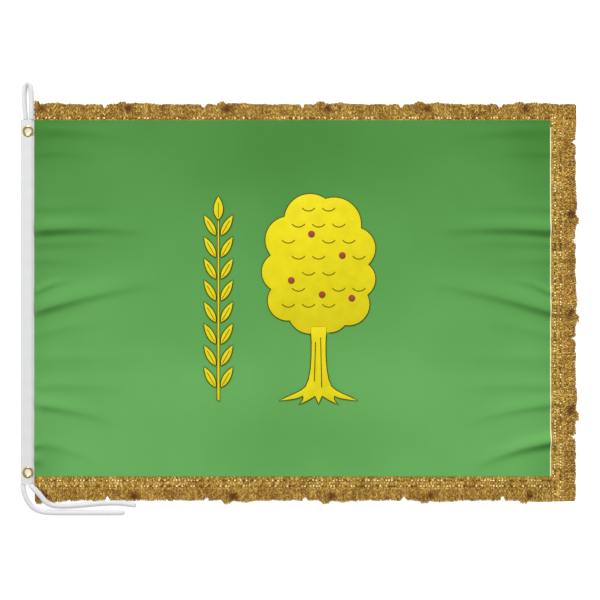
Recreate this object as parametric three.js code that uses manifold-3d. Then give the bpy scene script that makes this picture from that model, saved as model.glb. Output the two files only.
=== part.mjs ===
// A fringed ceremonial flag, 60 by 90 cm class, laid flat: satin field with sewn-on devices,
// canvas heading with two brass grommets, a doubled halyard rope and gold bullion fringe.
// Millimetres. +X runs from the hoist to the fly, +Y up the hoist, +Z out of the cloth.
import * as THREE from "three";
import { mergeVertices } from "three/addons/utils/BufferGeometryUtils.js";
import Module from "manifold-3d";

// ---- driving dimensions -------------------------------------------------------------------
const GAP = 0.3; // clearance between pieces that touch
const FIELD = { width: 868.3, height: 600, thick: 3.0, hemThick: 1.2 };
const HEADING = {
  width: 23.3,
  above: 0.7, // past the field's top edge
  below: 13.3, // past its lower edge
  thick: 6.5,
  wall: 1.5, // tape over and under the rope
  side: 1.2,
  seam: 1, // extra on the side that is sewn to the field
  boss: 0.5, // plies pressed together round a grommet's barrel
  web: 0.6, // tape left over a grommet's washer
};
const EDGING = 2.0; // cream hem that shows between the field and the fly fringe
const HEADER = { width: 21.5, low: 1.5, high: 3.3 }; // woven head of the fringe
const SKIRT_THICK = 3.2; // bullion threads, pressed flat
const TOP = { tuck: 12.5, skirt: 18 }; // the top fringe is sewn behind the field
const FLY = { skirt: 21.5, below: 2.1 }; // it ends a little past the bottom skirt
const BOTTOM = { skirt: 18.4 };
const LAP = 12; // field hem under the fringe heads
const TUFT = { pitch: 166.5, width: 13.5, reach: 5, notch: 9, notchDepth: 7 };
const ROPE = { diameter: 8.8, pressed: 2.9, sides: 10 };
const GROMMET = {
  across: 12.9, // from the heading's outer edge
  fromEnd: 20,
  bore: 5.7, // these five are radii
  barrel: 6.3,
  flange: 9.4,
  washer: 9.2,
  roll: 7.8,
  above: 0.9, // how far the flange stands above the tape
  seat: 0.5, // how deep it presses into the tape
  recess: 1.9, // how deep the washer and the rolled end press in behind
};
const PATCH = { thick: 0.7, lift: GAP };
const BEYOND = 20; // overshoot of a tool that cuts right through

// Places worked out from them: u runs from the field's hoist edge, v from its lower edge.
const HEADING_LEFT = -HEADING.width;
const FIELD_RIGHT = FIELD.width;
const HEADER_LEFT = FIELD_RIGHT + EDGING;
const FLY_RIGHT = HEADER_LEFT + HEADER.width + FLY.skirt;
const TOP_HEADER_LOW = FIELD.height - TOP.tuck;
const TOP_HEADER_HIGH = TOP_HEADER_LOW + HEADER.width;
const TOP_EDGE = TOP_HEADER_HIGH + TOP.skirt;
const BOTTOM_EDGE = -HEADER.width - BOTTOM.skirt;
const CENTRE_U = (HEADING_LEFT + FLY_RIGHT + TUFT.reach) / 2;
const CENTRE_V = (TOP_EDGE + BOTTOM_EDGE) / 2;
const HEADING_TOP = FIELD.height + HEADING.above;
const HEADING_LOW = -HEADING.below;
const GROMMET_U = HEADING_LEFT + GROMMET.across;
const GROMMET_V = { upper: HEADING_TOP - GROMMET.fromEnd, lower: HEADING_LOW + GROMMET.fromEnd };

// ---- materials ----------------------------------------------------------------------------
function finish(color, roughness, metalness = 0) {
  return new THREE.MeshStandardMaterial({ color, roughness, metalness });
}
const GREEN_SATIN = finish(0x5fa654, 0.7);
const CREAM_TWILL = finish(0xf3f0c8, 0.8);
const WHITE_CANVAS = finish(0xe4e4e4, 0.85);
const WHITE_ROPE = finish(0xe4e4e4, 0.8);
const BRASS = finish(0xb08d3c, 0.3, 1);
const GOLD_BRAID = finish(0xa9883f, 0.5, 0.6);
const GOLD_BULLION = finish(0x9b7835, 0.5, 0.6);
const YELLOW_SATIN = finish(0xe6d723, 0.6);
const RED_SATIN = finish(0xb9484a, 0.6);

// ---- building blocks ----------------------------------------------------------------------
const wasm = await Module();
wasm.setup();

const flag = new THREE.Group();
const laidOut = new THREE.Group();
laidOut.position.set(-CENTRE_U, -CENTRE_V, 0);
flag.add(laidOut);

function addPiece(name, geometry, material) {
  const mesh = new THREE.Mesh(geometry, material);
  mesh.name = name;
  laidOut.add(mesh);
  return mesh;
}

function box(left, right, low, high, bottom, top) {
  const geometry = new THREE.BoxGeometry(right - left, high - low, top - bottom);
  geometry.translate((left + right) / 2, (low + high) / 2, (bottom + top) / 2);
  return geometry;
}

function upright(u, v, radius, bottom, top, sides = 40) {
  const geometry = new THREE.CylinderGeometry(radius, radius, top - bottom, sides);
  geometry.rotateX(Math.PI / 2);
  geometry.translate(u, v, (bottom + top) / 2);
  return geometry;
}

function slab(shape, bottom, top, curveSegments = 10) {
  const geometry = new THREE.ExtrudeGeometry(shape, {
    depth: top - bottom,
    bevelEnabled: false,
    curveSegments,
  });
  geometry.translate(0, 0, bottom);
  return geometry;
}

function polygon(points) {
  return new THREE.Shape(points.map(([x, y]) => new THREE.Vector2(x, y)));
}

function solid(geometry) {
  const bare = geometry.clone();
  bare.deleteAttribute("normal");
  bare.deleteAttribute("uv");
  const welded = mergeVertices(bare, 1e-4);
  return new wasm.Manifold(new wasm.Mesh({
    numProp: 3,
    vertProperties: new Float32Array(welded.attributes.position.array),
    triVerts: new Uint32Array(welded.index.array),
  }));
}

function surface(manifold) {
  const mesh = manifold.getMesh();
  const geometry = new THREE.BufferGeometry();
  geometry.setAttribute("position", new THREE.BufferAttribute(mesh.vertProperties, 3));
  geometry.setIndex(new THREE.BufferAttribute(mesh.triVerts, 1));
  return geometry;
}

function cut(body, ...tools) {
  return surface(tools.reduce((rest, tool) => rest.subtract(solid(tool)), solid(body)));
}

// ---- field: one slab, thick where it is hemmed, with hems that run under the fringe heads ----
function buildField() {
  const overlap = 1;
  const face = solid(box(GAP, FIELD_RIGHT, 0, FIELD.height, 0, FIELD.thick));
  const hem = solid(box(GAP, FIELD_RIGHT, -LAP, overlap, 0, FIELD.hemThick));
  const lipLow = HEADER.high / 2 + GAP;
  const rebateLow = TOP_HEADER_LOW - GAP;
  const rebate = box(-BEYOND, FIELD_RIGHT + BEYOND, rebateLow, FIELD.height + BEYOND, -BEYOND, lipLow);
  addPiece("field_cloth", surface(face.add(hem).subtract(solid(rebate))), GREEN_SATIN);

  const tapeLeft = FIELD_RIGHT + GAP;
  const tape = box(tapeLeft, tapeLeft + EDGING + LAP, 0, TOP_HEADER_LOW - GAP, 0, FIELD.hemThick);
  addPiece("fly_hem_tape", tape, CREAM_TWILL);
}

// ---- heading: a canvas sleeve, pressed solid round each grommet, with the rope through it ----
// What the rope leaves free at a grommet: the boss round its barrel, and its washer with tape over it.
function pressedZones(clearance) {
  const webTop = GROMMET.recess + HEADING.web;
  return Object.values(GROMMET_V).flatMap((v) => [
    upright(GROMMET_U, v, GROMMET.barrel + HEADING.boss + clearance, -BEYOND, BEYOND),
    upright(GROMMET_U, v, GROMMET.washer + HEADING.web + clearance, -BEYOND, webTop + clearance),
  ]);
}

function buildHeading() {
  const from = HEADING_LEFT + HEADING.side;
  const to = -HEADING.side - HEADING.seam;
  const tunnelTop = HEADING.thick - HEADING.wall;
  const tunnel = box(from, to, HEADING_LOW - BEYOND, HEADING_TOP + BEYOND, HEADING.wall, tunnelTop);
  const hollow = pressedZones(0).reduce((rest, zone) => rest.subtract(solid(zone)), solid(tunnel));
  const seats = Object.values(GROMMET_V).flatMap((v) => [
    upright(GROMMET_U, v, GROMMET.barrel + GAP, -BEYOND, BEYOND),
    upright(GROMMET_U, v, GROMMET.washer + GAP, -BEYOND, GROMMET.recess),
    upright(GROMMET_U, v, GROMMET.flange + GAP, HEADING.thick - GROMMET.seat, BEYOND),
  ]);
  const sleeve = solid(box(HEADING_LEFT, 0, HEADING_LOW, HEADING_TOP, 0, HEADING.thick)).subtract(hollow);
  const tape = seats.reduce((rest, seat) => rest.subtract(solid(seat)), sleeve);
  addPiece("heading_tape", surface(tape), WHITE_CANVAS);

  const middle = (from + to) / 2;
  const halves = { left: [from + GAP, middle - GAP / 2], right: [middle + GAP / 2, to - GAP] };
  const coreLow = (HEADING.thick - ROPE.pressed) / 2;
  for (const [side, [low, high]] of Object.entries(halves)) {
    const core = box(low, high, HEADING_LOW + GAP, HEADING_TOP - GAP, coreLow, coreLow + ROPE.pressed);
    addPiece(`halyard_core_${side}`, cut(core, ...pressedZones(GAP)), WHITE_ROPE);
  }
}

// ---- grommets: a flanged eyelet whose barrel is rolled over a washer behind the tape ----
function turned(profile, u, v) {
  const points = [...profile, profile[0]].map(([radius, z]) => new THREE.Vector2(radius, z));
  const geometry = new THREE.LatheGeometry(points, 36);
  geometry.rotateX(Math.PI / 2);
  geometry.translate(u, v, 0);
  return geometry;
}

function buildGrommets() {
  const seat = HEADING.thick - GROMMET.seat + GAP;
  const crown = HEADING.thick + GROMMET.above;
  const { bore, barrel, flange, roll, washer } = GROMMET;
  const eyelet = [
    [bore, 0.35], [bore + 0.35, 0], [roll - 0.3, 0], [roll, 0.35], [roll - 0.3, 0.7], [barrel, 0.7],
    [barrel, seat], [flange - 0.3, seat], [flange, seat + 0.4], [flange - 0.7, crown - 0.2],
    [flange - 1.3, crown], [bore + 1.1, crown], [bore + 0.3, crown - 0.3], [bore, crown - 1],
  ];
  const ring = [
    [barrel + GAP, 1.0], [washer - 0.3, 1.0], [washer, 1.3], [washer - 0.3, 1.6], [barrel + GAP, 1.6],
  ];
  for (const [place, v] of Object.entries(GROMMET_V)) {
    addPiece(`${place}_grommet_eyelet`, turned(eyelet, GROMMET_U, v), BRASS);
    addPiece(`${place}_grommet_washer`, turned(ring, GROMMET_U, v), BRASS);
  }
}

// ---- halyard: one doubled rope, a loop at the head of the hoist and two tails at its foot ----
// Route points are [across from the heading's outer edge, v, height of the centre line].
const LOOP_ROUTE = [
  [8.5, 601.4, 4.4], [8.2, 607, 4.4], [7.3, 616, 4.4], [6.4, 627, 4.4], [6, 637, 4.4], [5.9, 645, 4.4],
  [6.3, 651.5, 4.4], [7.5, 657, 4.4], [9.5, 660.6, 4.4], [12.1, 661.8, 4.4], [14.7, 660.6, 4.4],
  [16.7, 657, 4.4], [17.9, 651.5, 4.4], [18.3, 645, 4.4], [18.5, 637, 4.4], [18.6, 627, 4.4],
  [18.7, 616, 4.4], [18.7, 607, 4.4], [18.7, 601.4, 4.4],
];
const LEFT_TAIL_ROUTE = [
  [4.3, -14.2, 4.4], [4, -16.5, 4.4], [4.9, -23, 4.4], [7.5, -31, 4.4], [11, -38.7, 4.4],
  [15.4, -46, 4.4], [21.4, -52.2, 4.4], [29, -56.8, 4.4], [38, -59.6, 4.4], [48, -60.7, 4.4],
  [61, -61.1, 4.4], [77, -61.2, 4.4], [95, -61.2, 4.4], [113, -61.2, 4.4], [132, -61.2, 4.4],
  [153, -61.2, 4.4], [175.8, -61.1, 4.4],
];
const RIGHT_TAIL_ROUTE = [
  [18.8, -14.1, 4.9], [18.9, -15.5, 5.2], [21, -17.9, 7.1], [25, -21.4, 8.3], [30.2, -26.6, 8.3],
  [35.2, -32.4, 8.3], [39.6, -38, 8.25], [44.4, -43, 7.6], [50.2, -46.6, 6.2], [57, -48.7, 4.9],
  [65.5, -49.6, 4.4], [76, -49.6, 4.4], [88, -49.1, 4.4], [102, -48.1, 4.4], [117, -46.9, 4.4],
  [132, -45.6, 4.4], [147, -44.7, 4.4], [162, -44.7, 4.4], [177, -45.9, 4.4], [188, -47.5, 4.4],
  [195, -48.8, 4.4],
];

function rope(name, route, steps) {
  const points = route.map(([across, v, z]) => new THREE.Vector3(HEADING_LEFT + across, v, z));
  const curve = new THREE.CatmullRomCurve3(points, false, "centripetal");
  const section = new THREE.Shape();
  for (let side = 0; side < ROPE.sides; side += 1) {
    const turn = ((side + 0.5) / ROPE.sides) * 2 * Math.PI;
    const x = (ROPE.diameter / 2) * Math.cos(turn);
    const y = (ROPE.diameter / 2) * Math.sin(turn);
    if (side === 0) section.moveTo(x, y);
    else section.lineTo(x, y);
  }
  section.closePath();
  const geometry = new THREE.ExtrudeGeometry(section, { extrudePath: curve, steps, bevelEnabled: false });
  addPiece(name, geometry, WHITE_ROPE);
}

function buildHalyard() {
  rope("halyard_loop", LOOP_ROUTE, 30);
  rope("halyard_tail_left", LEFT_TAIL_ROUTE, 24);
  rope("halyard_tail_right", RIGHT_TAIL_ROUTE, 26);
}

// ---- fringe: a woven head and a skirt of bullion threads, whose free edge has tufts and notches ----
// The edge is drawn along +s from 0 to length, and out from the head to the skirt's width.
function skirtOutline(length, width, tufts, notches) {
  const marks = [
    ...tufts.map((at) => ({ at, reach: TUFT.reach, span: TUFT.width })),
    ...notches.map((at) => ({ at, reach: -TUFT.notchDepth, span: TUFT.notch })),
  ].sort((a, b) => a.at - b.at);
  const edge = [[0, width]];
  for (const { at, reach, span } of marks) {
    const shoulder = reach > 0 ? 2 : span / 2 - 0.5;
    edge.push([at, width], [at + shoulder, width + reach], [at + span - shoulder, width + reach]);
    edge.push([at + span, width]);
  }
  edge.push([length, width]);
  return [[0, 0], ...edge, [length, 0]];
}

function series(first, last) {
  const places = [];
  for (let at = first; at < last; at += TUFT.pitch) places.push(at);
  return places;
}

function buildFringe() {
  const right = FLY_RIGHT;
  const flyTop = TOP_HEADER_LOW - GAP;
  const flyLow = BOTTOM_EDGE - FLY.below;
  const topHead = box(GAP, right, TOP_HEADER_LOW, TOP_HEADER_HIGH - GAP, 0, HEADER.high / 2);
  addPiece("fringe_top_header", topHead, GOLD_BRAID);
  const flyHeadRight = HEADER_LEFT + HEADER.width - GAP;
  const flyHead = box(HEADER_LEFT, flyHeadRight, flyLow, flyTop, HEADER.low, HEADER.high);
  addPiece("fringe_fly_header", flyHead, GOLD_BRAID);
  const bottomHead = box(GAP, HEADER_LEFT - GAP, -HEADER.width + GAP, -GAP, HEADER.low, HEADER.high);
  addPiece("fringe_bottom_header", bottomHead, GOLD_BRAID);

  const top = skirtOutline(right - GAP, TOP.skirt, series(140.1, 850), series(114.5, 850));
  const topSkirt = polygon(top.map(([s, out]) => [GAP + s, TOP_HEADER_HIGH + out]));
  addPiece("fringe_top_skirt", slab(topSkirt, 0, SKIRT_THICK), GOLD_BULLION);

  const fly = skirtOutline(flyTop - flyLow, FLY.skirt, series(135.9, 500), series(104.8, 620));
  const flyLeft = HEADER_LEFT + HEADER.width;
  const flySkirt = polygon(fly.map(([s, out]) => [flyLeft + out, flyLow + s]));
  addPiece("fringe_fly_skirt", slab(flySkirt, 0, SKIRT_THICK), GOLD_BULLION);

  const bottomLength = HEADER_LEFT - 2 * GAP;
  const bottom = skirtOutline(bottomLength, BOTTOM.skirt, series(317.3, 840), series(285, 840));
  const bottomSkirt = polygon(bottom.map(([s, out]) => [GAP + s, -HEADER.width - out]));
  addPiece("fringe_bottom_skirt", slab(bottomSkirt, 0, SKIRT_THICK), GOLD_BULLION);
}

// ---- sprig: a stem with a leaf at its tip and pairs of leaves up both sides ----
const SPRIG = { u: 310, foot: 126.5, top: 472, stem: 4.6, pairs: 8, firstPair: 150, pitch: 36.5 };
const LEAF = { length: 40, width: 13, lean: 0.52, offset: 4.4 };

function leafShape(length, width) {
  const shape = new THREE.Shape();
  shape.moveTo(0, 0);
  shape.bezierCurveTo(width * 0.75, length * 0.25, width * 0.55, length * 0.7, 0, length);
  shape.bezierCurveTo(-width * 0.55, length * 0.7, -width * 0.75, length * 0.25, 0, 0);
  return shape;
}

function patch(shape, layer = 0, curveSegments = 8) {
  const low = FIELD.thick + PATCH.lift + layer * (PATCH.thick + PATCH.lift);
  return slab(shape, low, low + PATCH.thick, curveSegments);
}

function buildSprig() {
  const half = SPRIG.stem / 2;
  const stemTop = SPRIG.top - LEAF.length - 1;
  const foot = SPRIG.foot;
  const stem = polygon([[-half, foot + 3], [half, foot], [half * 0.6, stemTop], [-half * 0.6, stemTop]]);
  const stemGeometry = patch(stem);
  stemGeometry.translate(SPRIG.u, 0, 0);
  addPiece("sprig_stem", stemGeometry, YELLOW_SATIN);

  const tip = patch(leafShape(LEAF.length, LEAF.width * 1.3));
  tip.translate(SPRIG.u, SPRIG.top - LEAF.length, 0);
  addPiece("sprig_leaf_tip", tip, YELLOW_SATIN);

  for (let pair = 0; pair < SPRIG.pairs; pair += 1) {
    for (const [side, sign] of [["left", -1], ["right", 1]]) {
      const leaf = patch(leafShape(LEAF.length, LEAF.width));
      leaf.rotateZ(-sign * LEAF.lean);
      leaf.translate(SPRIG.u + sign * LEAF.offset, SPRIG.firstPair + pair * SPRIG.pitch, 0);
      addPiece(`sprig_leaf_${side}_${pair + 1}`, leaf, YELLOW_SATIN);
    }
  }
}

// ---- tree: a crown of leaf masses on a trunk with spreading roots, with round fruit sewn on ----
const TREE = { u: 478.7, foot: 121.5, crownLow: 240, neck: 12, trunk: 13 };
const LEAF_MASSES = [ // across from the trunk's centre line, v, radius
  [0, 350, 66], [-14, 432, 44], [26, 424, 46], [-50, 398, 40], [60, 384, 36], [-62, 344, 34],
  [64, 332, 32], [-52, 296, 34], [50, 290, 36], [-14, 278, 38], [18, 276, 34],
];
const FRUIT = { radius: 5, places: [[-46, 330], [-12, 408], [40, 372], [6, 306], [56, 300]] };

function trunkShape(top) {
  const foot = TREE.foot;
  const trunk = new THREE.Shape();
  trunk.moveTo(-TREE.trunk, top);
  trunk.bezierCurveTo(-11, top - 45, -12, foot + 45, -22, foot + 30);
  trunk.bezierCurveTo(-34, foot + 18, -50, foot + 16, -66, foot + 6);
  trunk.bezierCurveTo(-48, foot + 8, -36, foot + 8, -27, foot + 14);
  trunk.bezierCurveTo(-24, foot + 10, -28, foot + 4, -33, foot);
  trunk.bezierCurveTo(-20, foot + 4, -12, foot + 10, -6, foot + 14);
  trunk.bezierCurveTo(-3, foot + 8, -2, foot + 4, 0, foot);
  trunk.bezierCurveTo(2, foot + 4, 3, foot + 8, 6, foot + 14);
  trunk.bezierCurveTo(12, foot + 10, 20, foot + 4, 33, foot);
  trunk.bezierCurveTo(28, foot + 4, 24, foot + 10, 27, foot + 14);
  trunk.bezierCurveTo(36, foot + 8, 48, foot + 8, 66, foot + 6);
  trunk.bezierCurveTo(50, foot + 16, 34, foot + 18, 22, foot + 30);
  trunk.bezierCurveTo(12, foot + 45, 11, top - 45, TREE.trunk, top);
  return trunk;
}

function buildTree() {
  const low = FIELD.thick + PATCH.lift;
  const high = low + PATCH.thick;
  const masses = LEAF_MASSES.map(([across, v, radius]) => (
    solid(upright(TREE.u + across, v, radius, low, high, 44))
  ));
  const neckTop = TREE.crownLow + TREE.neck;
  const halfJoin = TREE.trunk + GAP;
  const join = box(TREE.u - halfJoin, TREE.u + halfJoin, 0, neckTop, 0, BEYOND);
  const crown = masses.reduce((whole, mass) => whole.add(mass)).subtract(solid(join));
  addPiece("tree_crown", surface(crown), YELLOW_SATIN);

  const trunk = patch(trunkShape(neckTop - GAP), 0, 5);
  trunk.translate(TREE.u, 0, 0);
  addPiece("tree_trunk", trunk, YELLOW_SATIN);

  FRUIT.places.forEach(([across, v], index) => {
    const fruit = new THREE.Shape();
    fruit.absarc(TREE.u + across, v, FRUIT.radius, 0, 2 * Math.PI);
    addPiece(`tree_fruit_${index + 1}`, patch(fruit, 1), RED_SATIN);
  });
}

buildField();
buildHeading();
buildGrommets();
buildHalyard();
buildFringe();
buildSprig();
buildTree();

export default flag;
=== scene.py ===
import math

import bpy
import numpy as np
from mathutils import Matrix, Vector


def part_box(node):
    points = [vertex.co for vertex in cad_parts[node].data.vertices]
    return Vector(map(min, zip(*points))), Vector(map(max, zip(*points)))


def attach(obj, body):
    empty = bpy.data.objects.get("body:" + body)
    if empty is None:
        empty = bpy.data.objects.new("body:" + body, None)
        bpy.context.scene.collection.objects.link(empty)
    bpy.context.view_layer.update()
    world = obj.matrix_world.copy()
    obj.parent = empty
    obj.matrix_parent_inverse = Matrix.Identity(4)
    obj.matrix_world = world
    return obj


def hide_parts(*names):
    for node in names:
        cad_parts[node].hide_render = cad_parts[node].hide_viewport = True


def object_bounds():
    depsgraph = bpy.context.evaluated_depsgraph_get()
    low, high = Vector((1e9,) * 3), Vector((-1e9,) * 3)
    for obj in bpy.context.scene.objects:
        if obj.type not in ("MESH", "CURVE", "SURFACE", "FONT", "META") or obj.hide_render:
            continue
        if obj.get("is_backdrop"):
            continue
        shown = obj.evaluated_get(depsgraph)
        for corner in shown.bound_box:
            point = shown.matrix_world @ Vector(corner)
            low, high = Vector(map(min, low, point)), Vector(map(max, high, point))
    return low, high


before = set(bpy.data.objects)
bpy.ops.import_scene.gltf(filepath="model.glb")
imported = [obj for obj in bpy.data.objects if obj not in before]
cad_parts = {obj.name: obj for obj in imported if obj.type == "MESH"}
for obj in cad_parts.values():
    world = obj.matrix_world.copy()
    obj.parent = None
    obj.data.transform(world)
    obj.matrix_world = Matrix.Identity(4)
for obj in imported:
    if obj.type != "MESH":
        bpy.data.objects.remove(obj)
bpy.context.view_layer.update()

MM = 0.001


# ---- Camera and light -----------------------------------------------------------------------
# The flag lies on a pale table. The camera hangs straight over it with a long lens, its upper
# edge towards the head of the hoist. Wide soft lamps stand round the table, so that the cloth is
# evenly lit and only its folds and the gold thread show a direction.

def add_lamp(name, place, target, size, power):
    """A soft square lamp at a place in metres, turned towards its target."""
    bpy.ops.object.light_add(type="AREA", location=place)
    lamp = bpy.context.object
    lamp.name = name
    lamp.data.size = size
    lamp.data.energy = power
    lamp.rotation_euler = (Vector(target) - Vector(place)).to_track_quat("-Z", "Y").to_euler()
    return lamp


camera_height = 2.81
view_centre = Vector((-0.0001, 0.0035, 0.0))
bpy.ops.object.camera_add(location=view_centre + Vector((0, 0, camera_height)), rotation=(0, 0, 0))
camera = bpy.context.object
camera.name = "camera"
camera.data.lens = 100
camera.data.sensor_width = 36
bpy.context.scene.camera = camera

add_lamp("key_lamp", (-0.9, 4.8, 3.2), (0, 0, 0), 2.0, 290)
add_lamp("front_lamp", (0.6, -2.2, 1.9), (0, 0, 0), 1.6, 9)
add_lamp("side_lamp", (2.3, 0.3, 1.8), (0, 0, 0), 1.4, 9)
add_lamp("hoist_lamp", (-2.3, 0.2, 1.8), (0, 0, 0), 1.4, 9)

world = bpy.context.scene.world or bpy.data.worlds.new("studio")
bpy.context.scene.world = world
world.use_nodes = True
world.node_tree.nodes["Background"].inputs["Color"].default_value = (0.98, 0.99, 1.0, 1)
world.node_tree.nodes["Background"].inputs["Strength"].default_value = 0.6
bpy.context.scene.view_settings.view_transform = "Standard"


# ---- Halyard rope ---------------------------------------------------------------------------
# One soft white polyester rope, sixteen flat strands braided eight each way round a straight
# core. It runs doubled through the heading: a loop at the head of the hoist, and at its foot two
# tails whose ends are melted to a round tip so that they don't fray.

def linear(colour):
    """An sRGB hex colour as linear RGBA."""
    channels = [int(colour[i:i + 2], 16) / 255 for i in (1, 3, 5)]
    return [c / 12.92 if c <= 0.04045 else ((c + 0.055) / 1.055) ** 2.4 for c in channels] + [1.0]


def add_node(tree, kind, sockets=(), **settings):
    """One shader node, with its settings, and each socket's value or the output that feeds it."""
    node = tree.nodes.new(kind)
    for setting, value in settings.items():
        setattr(node, setting, value)
    for socket, value in dict(sockets).items():
        if isinstance(value, bpy.types.NodeSocket):
            tree.links.new(value, node.inputs[socket])
        else:
            node.inputs[socket].default_value = value
    return node


def new_material(name):
    """An empty material, its node tree and its shader."""
    material = bpy.data.materials.new(name)
    material.use_nodes = True
    tree = material.node_tree
    return material, tree, tree.nodes["Principled BSDF"]


def link(tree, source, target):
    tree.links.new(source, target)


def select_only(piece):
    """Selects one piece and makes it active, for the operator that follows."""
    bpy.ops.object.select_all(action="DESELECT")
    piece.select_set(True)
    bpy.context.view_layer.objects.active = piece


def finish_piece(piece, material, nodes=(), smooth=40):
    """The material, the shading, the body it rides on, and the CAD nodes that it stands for."""
    piece.data.materials.clear()
    piece.data.materials.append(material)
    select_only(piece)
    bpy.ops.object.transform_apply(location=True, rotation=True, scale=True)
    if smooth:
        bpy.ops.object.shade_smooth_by_angle(angle=math.radians(smooth))
    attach(piece, "root")
    if nodes:
        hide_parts(*nodes)


def braided_polyester():
    """Braided polyester rope: bright, barely glossy yarns, with painted shade low on its sides."""
    material, tree, shader = new_material("braided_polyester_white")
    uv = add_node(tree, "ShaderNodeUVMap", uv_map="strand")
    place = add_node(tree, "ShaderNodeTexCoord").outputs["Object"]
    yarns = add_node(tree, "ShaderNodeTexWave", {"Vector": uv.outputs["UV"], "Scale": 1.6,
                     "Distortion": 0.6, "Detail": 1.0}, wave_type="BANDS", bands_direction="Y")
    soil = add_node(tree, "ShaderNodeTexNoise", {"Vector": place, "Scale": 60.0, "Detail": 3.0})
    tint = add_node(tree, "ShaderNodeMix", {0: soil.outputs["Fac"], 6: linear("#d4d4d5"),
                    7: linear("#dededc")}, data_type="RGBA")
    dim = add_node(tree, "ShaderNodeMix", {0: yarns.outputs["Fac"], 6: linear("#cfcfd0"),
                   7: tint.outputs[2]}, data_type="RGBA")
    # Painted shade: the colour darkens towards the underside of the rope.
    low_side = add_node(tree, "ShaderNodeAttribute", attribute_name="low_side")
    darkened = add_node(tree, "ShaderNodeMix", {0: low_side.outputs["Fac"], 6: dim.outputs[2],
                    7: linear("#c1c1c2")}, data_type="RGBA")
    bump = add_node(tree, "ShaderNodeBump", {"Height": yarns.outputs["Fac"], "Strength": 0.35,
                    "Distance": 0.0002})
    link(tree, darkened.outputs[2], shader.inputs["Base Color"])
    link(tree, bump.outputs["Normal"], shader.inputs["Normal"])
    shader.inputs["Roughness"].default_value = 0.72
    shader.inputs["Sheen Weight"].default_value = 0.15
    return material


STRANDS_EACH_WAY = 8
BRAID_ANGLE = math.radians(38)  # between a strand and the rope's run
BRAID_RADIUS = 3.85 * MM  # from the rope's centre line to a strand's
BRAID_WEAVE = 0.26 * MM  # how far a strand rises and dips as it crosses the others
STRAND_HALF_WIDTH, STRAND_HALF_THICKNESS = 1.08 * MM, 0.5 * MM
RING_SPACING = 0.85 * MM  # between the rings of points along a strand
MELTED_TIP = 4.0 * MM
MOUTH_REACH = 14 * MM  # over which the rope springs back from the press of the heading's mouth
MOUTH_PRESS = 0.62
hoist_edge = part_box("heading_tape")[0][0]
field_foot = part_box("heading_tape")[1][1] - 0.6007  # the heading stands 0.7 mm above the field
rope_material = braided_polyester()


def smooth_route(points):
    """The route as closely spaced points of a smooth curve through its points, in metres."""
    data = bpy.data.curves.new("route", "CURVE")
    data.dimensions = "3D"
    data.resolution_u = 24
    spline = data.splines.new("BEZIER")
    spline.bezier_points.add(len(points) - 1)
    for knot, point in zip(spline.bezier_points, points):
        knot.co = point
        knot.handle_left_type = knot.handle_right_type = "AUTO"
    holder = bpy.data.objects.new("route", data)
    bpy.context.collection.objects.link(holder)
    select_only(holder)
    bpy.ops.object.convert(target="MESH")
    dense = np.array([v.co[:] for v in holder.data.vertices])
    bpy.data.objects.remove(holder)
    travelled = np.concatenate([[0], np.cumsum(np.linalg.norm(np.diff(dense, axis=0), axis=1))])
    return dense, travelled


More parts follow.
